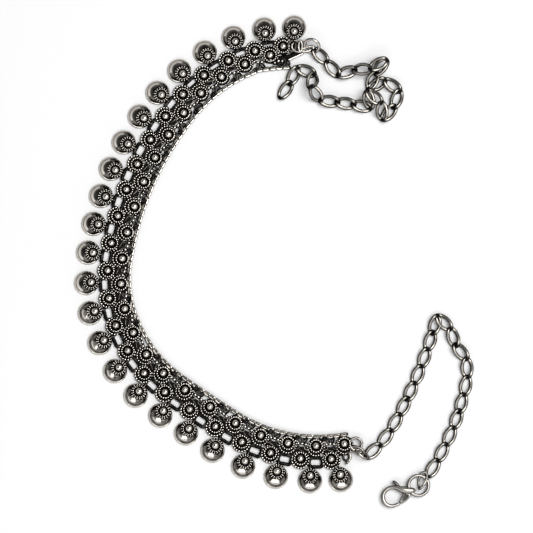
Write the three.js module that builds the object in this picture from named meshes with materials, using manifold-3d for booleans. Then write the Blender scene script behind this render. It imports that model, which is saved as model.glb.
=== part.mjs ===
// A choker necklace in antique silver-coloured metal, laid open on a table as a wide C.
// Millimetres, +Z up, every piece resting on z = 0. X runs right and Y away from the wearer's chest.
//
// The band is 23 pairs of granulated flowers joined by wire links, with 24 domed drops hung
// outside it and a fine chain sewn along its inside. A curb chain leaves each end of the band:
// the lower one carries a lobster clasp, the upper one lies in a small heap.
import * as THREE from "three";
import { mergeVertices } from "three/addons/utils/BufferGeometryUtils.js";
import Module from "manifold-3d";

const wasm = await Module();
wasm.setup();

// ---------------------------------------------------------------- driving dimensions
const GAP = 0.3; // air left between pieces that are not soldered
const CENTRE = { x: -0.139, y: 0.127 }; // of the bounding box, moved to the origin

const FLOWERS = 23; // in each of the two rows
const DROPS = 24;
const FLOWERS_PER_CASTING = 2; // pairs soldered into one stretch of the band

// The middle row's line, walked from the upper end: flowers passed, their pitch and the turn.
const BAND_START = { x: 3.2, y: 74.9, heading: 183.7 };
const BAND_LINE = [
  { flowers: 4.33, pitch: 9.97, turn: 47.8 },
  { flowers: 6.18, pitch: 9.7, turn: 30.5 },
  { flowers: 5.59, pitch: 9.71, turn: 62.4 },
  { flowers: 2.28, pitch: 10.62, turn: 3.6 },
  { flowers: 6.0, pitch: 10.6, turn: 60 },
];

const FLOWER = {
  plateRadius: 2.9,
  plateHeight: 1.2,
  cupRadius: 2.0,
  cupHeight: 2.4,
  ballTop: 3.5,
  plateShift: 0.55, // the plate sits this much nearer the drops than its cup and ball
};
const WIRE_LINK = { radius: 0.33, height: 0.9 };
const LUG = { width: 1.6, height: 1.3 };

const DROP = {
  radius: 4.2,
  rim: 0.6,
  height: 3.0,
  bossRadius: 2.65,
  bossHeight: 2.4,
  cupRadius: 1.8,
  cupHeight: 3.4,
  ballTop: 4.4,
  bossShift: 1.5, // toward the band
};

const BORDER = { offset: 3.55, radius: 0.85, steps: 46, sides: 8, start: -0.2, spread: 1.5 };

const LINK = { halfLength: 3.45, halfWidth: 1.9, wire: 0.75, twist: 52, stations: 8 };
const LINK_CENTRE_HEIGHT = 1.2;
const LINK_STEP = 6.3; // along the chain, between soldered neighbours
const LOOSE_STEP = 5.7; // between the last link of one stretch and the first of the next

// Both chains are walked from joint to joint, starting at the band: how many links, the bearing of
// the first and the last of them, how much each climbs, and the links soldered into one stretch.
const LOWER_START = { x: 32.0, y: -68.3 };
const LOWER_ROUTE = [
  { links: 2, from: 42, to: 53, climb: 0 },
  { links: 7, from: 61.2, to: 74.2, climb: 0 },
  { links: 2, from: -44, to: -73, climb: 0 },
  { links: 2, from: -50, to: -87, climb: 0 },
  { links: 6, from: -102, to: -122, climb: 0 },
];
const LOWER_STRETCHES = [4, 4, 3, 4, 4];

const UPPER_START = { x: 13.9, y: 74.0 };
const UPPER_ROUTE = [
  { links: 2, from: -44, to: -50, climb: 0 },
  { links: 1, from: 18, to: 18, climb: 1.2 },
  { links: 1, from: -1, to: -1, climb: 2.6 },
  { links: 1, from: 29, to: 29, climb: 0 },
  { links: 1, from: -130, to: -130, climb: -2.6 },
  { links: 1, from: -112, to: -112, climb: -1.2 },
  { links: 2, from: 29, to: -36, climb: 0 },
  { links: 2, from: -109, to: -132, climb: 0 },
  { links: 1, from: 98, to: 98, climb: 2.7 },
  { links: 1, from: 140, to: 140, climb: 0 },
  { links: 1, from: -77, to: -77, climb: -2.7 },
  { links: 3, from: 169, to: 174, climb: 0 },
  { links: 1, from: 129, to: 129, climb: 3.4 },
  { links: 1, from: 77, to: 77, climb: -3.4 },
  { links: 1, from: 160, to: 160, climb: 0 },
  { links: 2, from: -115, to: -124, climb: 0 },
];
const UPPER_STRETCHES = [3, 3, 4, 5, 1, 5, 1];

// Upright links that tie the end of a chain to the ring beside it: which stretch, which of its
// ends, the tie's bearing away from it and its half length.
const TIES = [
  { chain: "lower_chain", stretch: 1, end: "start", bearing: 152, halfLength: 2.45 },
  { chain: "lower_chain", stretch: 5, end: "finish", bearing: -112, halfLength: 2.3 },
];
const TIE_HALF_WIDTH = 1.6;

// Wire ovals soldered to the two ends of the band: two that lengthen it, the leaning ring and the
// flat ring that carry the chains, and the small one that holds the last drop.
const END_OVALS = [
  { band: "band_01", x: 8.7, y: 74.6, z: 1.5, long: 2.7, wide: 1.8, wire: 0.8, bearing: 0, lean: 0 },
  { band: "band_01", x: 13.2, y: 75.0, z: 2.3, long: 2.6, wide: 2.6, wire: 0.8, bearing: -20, lean: 40 },
  { band: "band_12", x: 28.6, y: -64.9, z: 1.6, long: 2.4, wide: 2.4, wire: 0.8, bearing: 0, lean: 0 },
  { band: "band_12", x: 25.6, y: -68.4, z: 0.8, long: 1.5, wide: 1.5, wire: 0.7, bearing: 0, lean: 0 },
];

// The dark plate that closes the upper end of the band, x and y of its corners.
const END_PLATE = [
  [3.6, 76.4],
  [3.2, 71.8],
  [4.4, 69.5],
  [10.4, 72.3],
  [9.6, 76.4],
];
const END_PLATE_HEIGHT = 1.1;

// The clasp in its own frame: the lever's pivot is near the origin and +X points at the tail.
const CLASP = { x: 45.8, y: -81.4, turn: 12, height: 1.6 };
const CLASP_BODY = [
  { x: 3.2, y: 1.0, half: 0.45, tall: 0.8 },
  { x: 2.4, y: 1.1, half: 0.85, tall: 1.2 },
  { x: 1.2, y: 1.35, half: 1.1, tall: 1.35 },
  { x: 0.1, y: 1.65, half: 1.22, tall: 1.35 },
  { x: -0.9, y: 2.1, half: 1.15, tall: 1.3 },
  { x: -1.9, y: 2.7, half: 0.98, tall: 1.15 },
  { x: -3.0, y: 3.3, half: 0.75, tall: 0.9 },
  { x: -4.2, y: 3.6, half: 0.66, tall: 0.72 },
  { x: -5.7, y: 3.5, half: 0.64, tall: 0.65 },
  { x: -7.1, y: 2.75, half: 0.66, tall: 0.65 },
  { x: -8.0, y: 1.45, half: 0.68, tall: 0.65 },
  { x: -8.2, y: -0.1, half: 0.68, tall: 0.65 },
  { x: -7.65, y: -1.5, half: 0.66, tall: 0.65 },
  { x: -6.5, y: -2.45, half: 0.64, tall: 0.65 },
  { x: -5.2, y: -2.8, half: 0.6, tall: 0.65 },
  { x: -3.75, y: -2.6, half: 0.5, tall: 0.6 },
];
const CLASP_PIVOT = { x: 0.1, y: 0.45, ear: 0.8, tall: 1.15 };
const CLASP_CHEEK = { x: -0.2, y: 1.7, radius: 0.8 };
const CLASP_SLOT = [
  [1.4, -0.9],
  [-0.8, -0.9],
  [-0.9, 0.6],
  [-2.8, 3.5],
  [-3.1, 5.0],
  [-0.3, 5.0],
  [0.8, 0.9],
  [1.4, 0.2],
];
const SLOT_HALF = 0.55;
const TAIL_EYE = { x: 1.45, y: 1.3, radius: 1.0, turn: 17 };
const CLASP_RING = { x: 4.75, y: 2.35, radius: 3.45, wire: 0.9 };
const LEVER_THIN = 0.25; // half the thickness of the lever where it passes through the body
const LEVER_TAB = [
  { x: 0.1, y: 0.45, half: 0.35, tall: LEVER_THIN },
  { x: -1.1, y: 2.3, half: 0.35, tall: LEVER_THIN },
  { x: -2.4, y: 4.35, half: 0.35, tall: LEVER_THIN },
  { x: -2.8, y: 4.95, half: 0.42, tall: 0.45 },
  { x: -3.5, y: 5.75, half: 0.4, tall: 0.45 },
];
// The gate is a wedge: x and y of its corners, the first four in a hollow about the ear.
const LEVER_GATE = [
  [1.3, -0.5],
  [0.65, -0.75],
  [-0.35, -0.72],
  [-1.0, -0.05],
  [-2.0, -0.8],
  [-2.95, -1.75],
  [-2.75, -2.6],
  [-0.85, -2.1],
  [0.6, -1.3],
];
const GATE_HALF = 0.65; // half the gate's thickness
const LEVER_NECK = [
  { x: 0.1, y: 0.45, half: 0.45, tall: LEVER_THIN },
  { x: -0.7, y: -1.0, half: 0.45, tall: LEVER_THIN },
];

// ---------------------------------------------------------------- small helpers
const rad = THREE.MathUtils.degToRad;
const smooth = THREE.MathUtils.smoothstep;
const UP = new THREE.Vector3(0, 0, 1);
const vec = (x, y, z = 0) => new THREE.Vector3(x, y, z);

// A closed manifold solid from a three.js geometry.
function solid(geometry) {
  const bare = geometry.clone();
  bare.deleteAttribute("normal");
  bare.deleteAttribute("uv");
  const merged = mergeVertices(bare, 1e-4);
  return new wasm.Manifold(
    new wasm.Mesh({
      numProp: 3,
      vertProperties: merged.attributes.position.array,
      triVerts: new Uint32Array(merged.index.array),
    }),
  );
}

const join = (parts) => parts.reduce((whole, part) => whole.add(part));

// A three.js mesh with its own material from a manifold solid.
function piece(name, body, colour) {
  const mesh = body.getMesh();
  const geometry = new THREE.BufferGeometry();
  geometry.setAttribute("position", new THREE.BufferAttribute(mesh.vertProperties, 3));
  geometry.setIndex(new THREE.BufferAttribute(mesh.triVerts, 1));
  geometry.computeVertexNormals();
  const material = new THREE.MeshStandardMaterial({ color: colour, metalness: 1, roughness: 0.35 });
  const made = new THREE.Mesh(geometry, material);
  made.name = name;
  return made;
}

// A skin over rings of points; closed joins the last ring to the first, otherwise both are capped.
function skin(rings, closed) {
  const n = rings[0].length;
  const m = rings.length;
  const index = [];
  for (let i = 0; i < (closed ? m : m - 1); i++) {
    const a = i * n;
    const b = ((i + 1) % m) * n;
    for (let j = 0; j < n; j++) {
      const k = (j + 1) % n;
      index.push(a + j, a + k, b + k, a + j, b + k, b + j);
    }
  }
  if (!closed) {
    const end = (m - 1) * n;
    for (let j = 1; j < n - 1; j++) {
      index.push(0, j + 1, j);
      index.push(end, end + j, end + j + 1);
    }
  }
  const geometry = new THREE.BufferGeometry().setFromPoints(rings.flat());
  geometry.setIndex(index);
  return solid(geometry);
}

// A bar swept through stations {at, half, tall}: a section of the given sides, half wide each way
// across the path and tall each way along `up`.
function swept(stations, sides, closed, ups) {
  const m = stations.length;
  const rings = stations.map((station, i) => {
    const before = stations[closed ? (i + m - 1) % m : Math.max(i - 1, 0)].at;
    const after = stations[closed ? (i + 1) % m : Math.min(i + 1, m - 1)].at;
    const along = after.clone().sub(before).normalize();
    const side = (ups ? ups[i] : UP).clone().cross(along).normalize();
    const up = along.clone().cross(side);
    return Array.from({ length: sides }, (_, j) => {
      const turn = ((j + 0.5) / sides) * 2 * Math.PI;
      const reach = 1 / Math.cos(Math.PI / sides);
      return station.at
        .clone()
        .addScaledVector(side, station.half * reach * Math.cos(turn))
        .addScaledVector(up, station.tall * reach * Math.sin(turn));
    });
  });
  return skin(rings, closed);
}

// An oval wire link along +X, twisted about its length so that neighbours lie flat together.
function chainLink({ halfLength, halfWidth, wire, twist, stations }) {
  const list = [];
  const ups = [];
  const reach = 1 / Math.cos(Math.PI / stations); // the flats keep the oval's size
  for (let i = 0; i < stations; i++) {
    const turn = ((i + 0.5) / stations) * 2 * Math.PI;
    const roll = rad(twist) * Math.cos(turn) * reach;
    const across = halfWidth * reach * Math.sin(turn);
    const along = halfLength * reach * Math.cos(turn);
    const at = vec(along, across * Math.cos(roll), across * Math.sin(roll));
    list.push({ at, half: wire / 2, tall: wire / 2 });
    ups.push(vec(0, -Math.sin(roll), Math.cos(roll)));
  }
  return swept(list, 4, true, ups);
}

// A solid of revolution about +Z from [radius, z] pairs that start and end on the axis.
function turned(profile, sides) {
  const points = profile.map(([r, z]) => new THREE.Vector2(r, z));
  return solid(new THREE.LatheGeometry(points, sides).rotateX(Math.PI / 2));
}

// A straight box bar from one point to another at a height, with its underside at z = low.
function bar(from, to, width, low, high) {
  const length = Math.hypot(to.x - from.x, to.y - from.y);
  const box = new THREE.BoxGeometry(length, width, high - low);
  box.rotateZ(Math.atan2(to.y - from.y, to.x - from.x));
  box.translate((from.x + to.x) / 2, (from.y + to.y) / 2, (low + high) / 2);
  return solid(box);
}

// A round wire ring lying flat about the origin.
const flatRing = (radius, wire, steps) => solid(new THREE.TorusGeometry(radius, wire / 2, 6, steps));

const place = (body, at, heading = 0, z = 0) =>
  body.rotate([0, 0, heading]).translate([at.x, at.y, z]);

// A point on the band's line `u` flowers from the upper end, with its heading in radians.
function onBand(u) {
  let { x, y } = BAND_START;
  let heading = rad(BAND_START.heading);
  let left = u;
  for (const [i, row] of BAND_LINE.entries()) {
    const curve = rad(row.turn) / (row.flowers * row.pitch);
    const flowers = i === BAND_LINE.length - 1 ? left : Math.min(left, row.flowers);
    const length = flowers * row.pitch;
    const next = heading + curve * length;
    x += (Math.sin(next) - Math.sin(heading)) / curve;
    y -= (Math.cos(next) - Math.cos(heading)) / curve;
    heading = next;
    left -= flowers;
    if (left <= 0) break;
  }
  return { x, y, heading };
}

// The same, moved `inward` toward the neck and `along` the line.
function beside(u, inward, along = 0) {
  const { x, y, heading } = onBand(u);
  const cos = Math.cos(heading);
  const sin = Math.sin(heading);
  return { x: x - sin * inward + cos * along, y: y + cos * inward + sin * along, heading };
}

const innerOffset = (u) => 4.6 - 2.6 * Math.exp(-u / 2);
// A hump of height 1 about one place on the band.
const near = (u, at, width) => Math.exp(-(((u - at) / width) ** 2));
const dropOffset = (u) =>
  7.55 - 0.7 * Math.exp(-(u + 0.5) / 3) - 0.6 * near(u, 2.8, 1.2) + 0.45 * near(u, 7.2, 1.9);
// Along most of the band a drop hangs level with its link; further down they lag behind it.
const dropLag = (u) =>
  -0.4 -
  0.9 * near(u, -0.5, 0.7) +
  0.6 * near(u, 4.9, 1.3) +
  2.3 * smooth(u, 6, 14) -
  0.45 * near(u, 10.8, 1.2) +
  1.2 * smooth(u, 21.6, 22.5);
const degrees = (heading) => THREE.MathUtils.radToDeg(heading);

const necklace = new THREE.Group();
const add = (name, body, colour) => necklace.add(piece(name, body, colour));

// ---------------------------------------------------------------- domed drops
// A flat-backed dome with a granulated boss set toward the band. Local +Y points at the band.
const dome = turned(
  [
    [0, 0],
    [DROP.radius, 0],
    [DROP.radius, DROP.rim],
    [DROP.radius * 0.64, DROP.height * 0.78],
    [0, DROP.height],
  ],
  10,
);
const boss = turned(
  [
    [0, DROP.rim],
    [DROP.bossRadius, DROP.rim],
    [DROP.bossRadius, DROP.bossHeight],
    [DROP.cupRadius, DROP.cupHeight],
    [0, DROP.ballTop],
  ],
  8,
).translate([0, DROP.bossShift, 0]);
const drop = dome.add(boss);
for (let i = 0; i < DROPS; i++) {
  const u = i - 0.5;
  const at = beside(u, -dropOffset(u), -dropLag(u));
  add(`drop_${String(i + 1).padStart(2, "0")}`, place(drop, at, degrees(at.heading)), "#9a958c");
}

// ---------------------------------------------------------------- flower castings
const flower = turned(
  [
    [0, 0],
    [FLOWER.plateRadius, 0],
    [FLOWER.plateRadius, FLOWER.plateHeight],
    [FLOWER.cupRadius, FLOWER.cupHeight],
    [0, FLOWER.ballTop],
  ],
  8,
);
const midAt = (i) => beside(i, -FLOWER.plateShift);
const innerAt = (i) => beside(i + 0.5, innerOffset(i + 0.5) - FLOWER.plateShift);

// The oval link's outer wire runs just inside the drop it carries.
const wireOffset = (u) => DROP.radius + GAP + WIRE_LINK.radius * 1.3 - dropOffset(u);

// One wire of the oval link between middle flowers i and i + 1, stopping short of a loose one.
function linkWire(i, offset, loose) {
  const reach = Math.sqrt(FLOWER.plateRadius ** 2 - (offset + FLOWER.plateShift) ** 2);
  const from = beside(i, offset, reach * 0.6);
  const to = beside(i + 1, offset, loose ? -reach - GAP - 0.15 : -reach * 0.6);
  const z = WIRE_LINK.height;
  const stations = [from, to].map((p) => ({
    at: vec(p.x, p.y, z),
    half: WIRE_LINK.radius,
    tall: WIRE_LINK.radius,
  }));
  return swept(stations, 4, false);
}

for (let first = 0; first < FLOWERS; first += FLOWERS_PER_CASTING) {
  const parts = [];
  const end = Math.min(first + FLOWERS_PER_CASTING, FLOWERS);
  for (let i = first; i < end; i++) {
    const mid = midAt(i);
    const inner = innerAt(i);
    parts.push(place(flower, mid, degrees(mid.heading) + 22.5));
    parts.push(place(flower, inner, degrees(inner.heading) + 22.5));
    parts.push(bar(mid, inner, 2.4, 0, FLOWER.plateHeight * 0.9));
    if (i + 1 < FLOWERS) {
      const loose = i + 1 === end;
      parts.push(linkWire(i, wireOffset(i + 0.5), loose));
      if (!loose) {
        const next = innerAt(i + 1);
        parts.push(bar(inner, next, LUG.width, 0, LUG.height));
      }
    }
  }
  const name = `band_${String(first / FLOWERS_PER_CASTING + 1).padStart(2, "0")}`;
  for (const oval of END_OVALS.filter(({ band }) => band === name)) {
    const { long, wide, wire } = oval;
    const shape = { halfLength: long, halfWidth: wide, wire: wire * 0.9, twist: 0, stations: 10 };
    parts.push(place(chainLink(shape).rotate([oval.lean, 0, 0]), oval, oval.bearing, oval.z));
  }
  if (first === 0) {
    const plate = new THREE.Shape(END_PLATE.map(([x, y]) => new THREE.Vector2(x, y)));
    const depth = END_PLATE_HEIGHT;
    parts.push(solid(new THREE.ExtrudeGeometry(plate, { depth, bevelEnabled: false })));
  }
  add(name, join(parts), "#5d5952");
}

// ---------------------------------------------------------------- border chain
// A fine cable chain of some hundred links, built as one cord along its true route.
class Route extends THREE.Curve {
  getPoint(t, target = new THREE.Vector3()) {
    const u = BORDER.start + t * (FLOWERS - 0.35 - BORDER.start);
    const spread = BORDER.spread * Math.max(0, 1 - u); // it leaves the flowers at the upper end
    const p = beside(u, innerOffset(u) + BORDER.offset + spread);
    return target.set(p.x, p.y, BORDER.radius * Math.cos(Math.PI / BORDER.sides));
  }
}
const section = new THREE.Shape(
  Array.from({ length: BORDER.sides }, (_, j) => {
    const turn = ((j + 0.5) / BORDER.sides) * 2 * Math.PI;
    return new THREE.Vector2(BORDER.radius * Math.cos(turn), BORDER.radius * Math.sin(turn));
  }),
);
const border = new THREE.ExtrudeGeometry(section, {
  steps: BORDER.steps,
  extrudePath: new Route(),
});
add("border_chain", solid(border), "#77726a");

// ---------------------------------------------------------------- curb chains
const link = chainLink(LINK);

// Walk a route and return every link: the middle between its two joints, its bearing and its slope.
// The first link of each stretch stands off the last of the one before.
function walk(start, route, stretches) {
  const bearings = route.flatMap(({ links, from, to, climb }) =>
    Array.from({ length: links }, (_, i) => ({
      bearing: from + (links > 1 ? ((to - from) * i) / (links - 1) : 0),
      climb,
    })),
  );
  const starts = stretches.map((_, i) => stretches.slice(0, i).reduce((a, b) => a + b, 0));
  let joint = vec(start.x, start.y, LINK_CENTRE_HEIGHT);
  return bearings.map(({ bearing, climb }, i) => {
    const slope = Math.asin(climb / LINK_STEP);
    const along = vec(
      Math.cos(rad(bearing)) * Math.cos(slope),
      Math.sin(rad(bearing)) * Math.cos(slope),
      Math.sin(slope),
    );
    if (i && starts.includes(i)) joint = joint.addScaledVector(along, LOOSE_STEP - LINK_STEP);
    const at = joint.clone().addScaledVector(along, LINK_STEP / 2);
    joint = joint.clone().addScaledVector(along, LINK_STEP);
    return { at, bearing, slope: THREE.MathUtils.radToDeg(slope) };
  });
}

// An upright link whose near end bar is soldered to the chain's last joint.
function tieLink({ bearing, halfLength, end }, links) {
  const { at, bearing: course, slope } = end === "start" ? links[0] : links.at(-1);
  const reach = (end === "start" ? -LINK_STEP : LINK_STEP) / 2;
  const flat = Math.cos(rad(slope)) * reach;
  const joint = { x: at.x + Math.cos(rad(course)) * flat, y: at.y + Math.sin(rad(course)) * flat };
  const out = halfLength - 0.2;
  const middle = {
    x: joint.x + Math.cos(rad(bearing)) * out,
    y: joint.y + Math.sin(rad(bearing)) * out,
  };
  const oval = { ...LINK, halfLength, halfWidth: TIE_HALF_WIDTH, twist: 0 };
  const upright = chainLink(oval).rotate([90, 0, 0]);
  return place(upright, middle, bearing, TIE_HALF_WIDTH + LINK.wire / 2);
}

function addChain(name, links, stretches) {
  let first = 0;
  for (const [i, count] of stretches.entries()) {
    const stretch = links.slice(first, first + count);
    const parts = stretch.map(({ at, bearing, slope }) =>
      link.rotate([0, -slope, 0]).rotate([0, 0, bearing]).translate([at.x, at.y, at.z]),
    );
    for (const tie of TIES.filter((t) => t.chain === name && t.stretch === i + 1)) {
      parts.push(tieLink(tie, stretch));
    }
    const body = join(parts);
    const lift = Math.max(0, -body.boundingBox().min[2]);
    add(`${name}_${i + 1}`, body.translate([0, 0, lift]), "#8d8980");
    first += count;
  }
}
addChain("lower_chain", walk(LOWER_START, LOWER_ROUTE, LOWER_STRETCHES), LOWER_STRETCHES);
addChain("upper_chain", walk(UPPER_START, UPPER_ROUTE, UPPER_STRETCHES), UPPER_STRETCHES);

// ---------------------------------------------------------------- lobster clasp
const claspFrame = (body) =>
  body.rotate([0, 0, CLASP.turn]).translate([CLASP.x, CLASP.y, CLASP.height]);
const sweepRows = (rows, sides) =>
  swept(
    rows.map(({ x, y, half, tall }) => ({ at: vec(x, y), half, tall })),
    sides,
    false,
  );
const column = (x, y, radius, tall, sides) =>
  turned([[0, -tall], [radius, -tall], [radius, tall], [0, tall]], sides).translate([x, y, 0]);

const ear = column(CLASP_PIVOT.x, CLASP_PIVOT.y, CLASP_PIVOT.ear, CLASP_PIVOT.tall, 8);
const cheek = column(CLASP_CHEEK.x, CLASP_CHEEK.y, CLASP_CHEEK.radius, CLASP_PIVOT.tall, 8);
// A flat block, centred on the clasp's own middle height.
const block = (corners, half) =>
  solid(
    new THREE.ExtrudeGeometry(new THREE.Shape(corners.map(([x, y]) => new THREE.Vector2(x, y))), {
      depth: 2 * half,
      bevelEnabled: false,
    }).translate(0, 0, -half),
  );
const eye = place(
  solid(new THREE.CylinderGeometry(TAIL_EYE.radius, TAIL_EYE.radius, 6, 8).rotateY(Math.PI / 8)),
  TAIL_EYE,
  TAIL_EYE.turn,
);
const claspBody = sweepRows(CLASP_BODY, 6)
  .add(ear)
  .add(cheek)
  .subtract(block(CLASP_SLOT, SLOT_HALF))
  .subtract(eye);
add("clasp_body", claspFrame(claspBody), "#a09b92");

const lever = sweepRows(LEVER_TAB, 4)
  .add(block(LEVER_GATE, GATE_HALF))
  .add(sweepRows(LEVER_NECK, 4))
  .add(column(CLASP_PIVOT.x, CLASP_PIVOT.y, 0.6, LEVER_THIN, 8));
add("clasp_lever", claspFrame(lever), "#a09b92");

const claspRing = flatRing(CLASP_RING.radius, CLASP_RING.wire, 16);
add("clasp_ring", claspFrame(claspRing.translate([CLASP_RING.x, CLASP_RING.y, 0])), "#a09b92");

necklace.position.set(-CENTRE.x, -CENTRE.y, 0);
export default necklace;
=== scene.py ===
# %% [markdown]
# # A choker necklace in antique silver
#
# The necklace lies open on a pale table. Its band is a run of castings: pairs of little flowers,
# each a ball in rings of grains, with domed drops hung outside them and a fine chain along the neck
# edge. A curb chain leaves each end, and one of them carries a lobster clasp.
#
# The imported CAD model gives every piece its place. Here each of its plain solids is replaced by a
# finer surface that is worked out with numpy and stays where the solid is. The same forms could be
# sculpted, but hardly the same flower forty-six times over.

import math

import bpy
import numpy as np
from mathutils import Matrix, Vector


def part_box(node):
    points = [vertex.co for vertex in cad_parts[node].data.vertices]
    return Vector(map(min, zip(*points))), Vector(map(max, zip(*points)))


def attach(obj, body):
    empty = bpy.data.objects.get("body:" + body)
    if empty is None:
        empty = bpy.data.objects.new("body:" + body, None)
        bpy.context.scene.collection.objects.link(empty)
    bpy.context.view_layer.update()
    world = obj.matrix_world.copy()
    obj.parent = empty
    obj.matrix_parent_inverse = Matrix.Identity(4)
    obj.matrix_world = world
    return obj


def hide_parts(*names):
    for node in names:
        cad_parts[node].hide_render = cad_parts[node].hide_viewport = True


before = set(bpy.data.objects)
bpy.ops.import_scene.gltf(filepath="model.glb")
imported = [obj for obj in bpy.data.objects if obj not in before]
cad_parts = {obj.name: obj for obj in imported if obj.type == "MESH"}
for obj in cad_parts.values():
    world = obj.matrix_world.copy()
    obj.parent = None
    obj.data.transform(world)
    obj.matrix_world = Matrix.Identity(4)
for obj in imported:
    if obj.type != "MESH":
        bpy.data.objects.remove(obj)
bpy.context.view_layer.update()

# %% [markdown]
# ## The band's line
#
# A necklace of soldered units can't follow any curve: it bends in long arcs. The line through the
# outer flowers is therefore a run of five arcs, counted in flowers, and every casting finds its
# place and heading from its number on that line. A drawn curve would also do, but then each unit
# would need a place of its own.

# %% The line through the outer flowers
MM = 0.001
CENTRE = np.array([-0.139, 0.127])  # the layout's middle, which lies at the frame's origin
FLOWERS = 23
LINE_START = (3.2, 74.9, 183.7)  # x, y and heading at the first flower
LINE_ARCS = [  # flowers passed, pitch in mm, turn in degrees
    (4.33, 9.97, 47.8),
    (6.18, 9.7, 30.5),
    (5.59, 9.71, 62.4),
    (2.28, 10.62, 3.6),
    (6.0, 10.6, 60.0),
]


def band_line(u):
    """Point and heading of the band's line, u flowers from the upper end.

    On each arc the heading grows evenly with length. A point is the arc's start plus the change in
    the heading's sine, and minus the change in its cosine, each divided by the curvature."""
    left = np.array(u, float)
    x = np.full(left.shape, LINE_START[0] - CENTRE[0])
    y = np.full(left.shape, LINE_START[1] - CENTRE[1])
    heading = np.full(left.shape, math.radians(LINE_START[2]))
    for k, (flowers, pitch, turn) in enumerate(LINE_ARCS):
        curve = math.radians(turn) / (flowers * pitch)
        step = left if k == len(LINE_ARCS) - 1 else np.minimum(left, flowers)
        after = heading + curve * pitch * step
        x = x + (np.sin(after) - np.sin(heading)) / curve
        y = y - (np.cos(after) - np.cos(heading)) / curve
        heading, left = after, left - step
    return x, y, heading


def beside(u, inward, along=0.0):
    """The same, moved inward across the line toward the neck, and along it."""
    x, y, heading = band_line(u)
    sin, cos = np.sin(heading), np.cos(heading)
    return x - sin * inward + cos * along, y + cos * inward + sin * along, heading


ends = band_line(np.array([0.0, FLOWERS - 1.0]))
print("band line from", np.round(ends[0], 1), "to", np.round(ends[1], 1), "mm")

# %% [markdown]
# Handwork is never quite even. Every row of pieces keeps its own distance from the line, and that
# distance drifts a little on the way. Moving each piece by hand would hold the drift in hundreds of
# numbers. Here a distance is one plain value plus a few soft humps and steps.

# %% How far each row lies from the line, in mm
def ease(u, low, high):
    """0 below low, 1 above high, and three t squared minus two t cubed between them."""
    t = np.clip((u - low) / (high - low), 0, 1)
    return t * t * (3 - 2 * t)


def hump(u, at, width):
    """A bell of height 1 about one place: e to minus the square of distance over width."""
    return np.exp(-(((u - at) / width) ** 2))


def inner_offset(u):
    """The inner flowers, inward: 4.6, less an exponential that dies away from the upper end."""
    return 4.6 - 2.6 * np.exp(-np.asarray(u, float) / 2)


def drop_offset(u):
    """The drops, outward: 7.55, less a dying exponential and one hump, plus another hump."""
    return 7.55 - 0.7 * np.exp(-(u + 0.5) / 3) - 0.6 * hump(u, 2.8, 1.2) + 0.45 * hump(u, 7.2, 1.9)


def drop_lag(u):
    """How far each drop hangs back along the line: three humps early on, then two steps."""
    early = -0.9 * hump(u, -0.5, 0.7) + 0.6 * hump(u, 4.9, 1.3) - 0.45 * hump(u, 10.8, 1.2)
    return -0.4 + early + 2.3 * ease(u, 6, 14) + 1.2 * ease(u, 21.6, 22.5)


def bead_row(u):
    """The beads between inner flowers, to the neck side of them: 0.85, a hump and a step."""
    return 0.85 + 0.4 * hump(u, 13, 2.5) - 0.35 * ease(u, 14.5, 17)


def border_offset(u):
    """The fine chain, inward: 3.8 past the inner flowers, less one step and one hump. Before the
    second flower it draws away from them, by 1.5 for each flower."""
    close = 0.6 * ease(u, 3, 8.5) + 0.45 * hump(u, 11.5, 1.9)
    return inner_offset(u) + 3.8 - close + 1.5 * np.clip(1 - np.asarray(u, float), 0, None)


print("inner flowers lie", np.round(inner_offset(np.array([0, 5, 22])), 1), "mm inward")
print("drops lie", np.round(drop_offset(np.array([0, 5, 22])), 1), "mm outward")

# %% [markdown]
# ## Surfaces as arrays
#
# Every piece is made of a few kinds of surface: a profile turned about an axis, a wire carried along a
# path, and a small grain. Each is a grid of points, so its faces follow from the grid's size alone. A
# surface also carries one number per point for how bright its metal is: 0 is black, and 1 is metal rubbed
# bright. It holds real wear, black oxide that no cloth reaches and rubbed high points, and also painted
# light: painted highlights on tops and shoulders, and painted shade on flanks and where parts meet. The
# finish reads that number later. Vertex groups could hold it too, but an attribute is written in one call.

# %% A skin: points, faces, and wear with painted light
class Skin:
    """Points in mm, four-sided and three-sided faces, and the wear and painted light of each point."""

    def __init__(self, points, quads, tris, wear_and_painted_light):
        self.points = np.asarray(points, float).reshape(-1, 3)
        self.quads = np.asarray(quads, int).reshape(-1, 4)
        self.tris = np.asarray(tris, int).reshape(-1, 3)
        self.wear_and_painted_light = np.broadcast_to(np.asarray(wear_and_painted_light, float), (len(self.points),)).copy()

    def turned(self, degrees, axis="z"):
        """Turned about one axis by the right-hand rule: each of the two other coordinates becomes
        itself times the cosine, minus or plus the other times the sine."""
        a = math.radians(degrees)
        cos, sin = math.cos(a), math.sin(a)
        i, j = {"x": (1, 2), "y": (2, 0), "z": (0, 1)}[axis]
        p = self.points.copy()
        p[:, i] = self.points[:, i] * cos - self.points[:, j] * sin
        p[:, j] = self.points[:, i] * sin + self.points[:, j] * cos
        return Skin(p, self.quads, self.tris, self.wear_and_painted_light)

    def moved(self, x=0.0, y=0.0, z=0.0):
        """Every point plus one step."""
        return Skin(self.points + (x, y, z), self.quads, self.tris, self.wear_and_painted_light)

    def placed(self, x, y, heading, z=0.0):
        """Turned to a heading in radians, then moved to its place."""
        return self.turned(math.degrees(float(heading))).moved(float(x), float(y), float(z))

    def inside_out(self):
        """The same points, with the corners of every face in the opposite order."""
        return Skin(self.points, self.quads[:, ::-1], self.tris[:, ::-1], self.wear_and_painted_light)


# %% [markdown]
# A jeweller solders many small parts into one. Here too small skins become one, which is a matter
# of counting: the faces of each part name points that now come later in the list. Joining objects
# in Blender gives the same mesh, but slowly, so the arrays are joined before any object is made.

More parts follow.
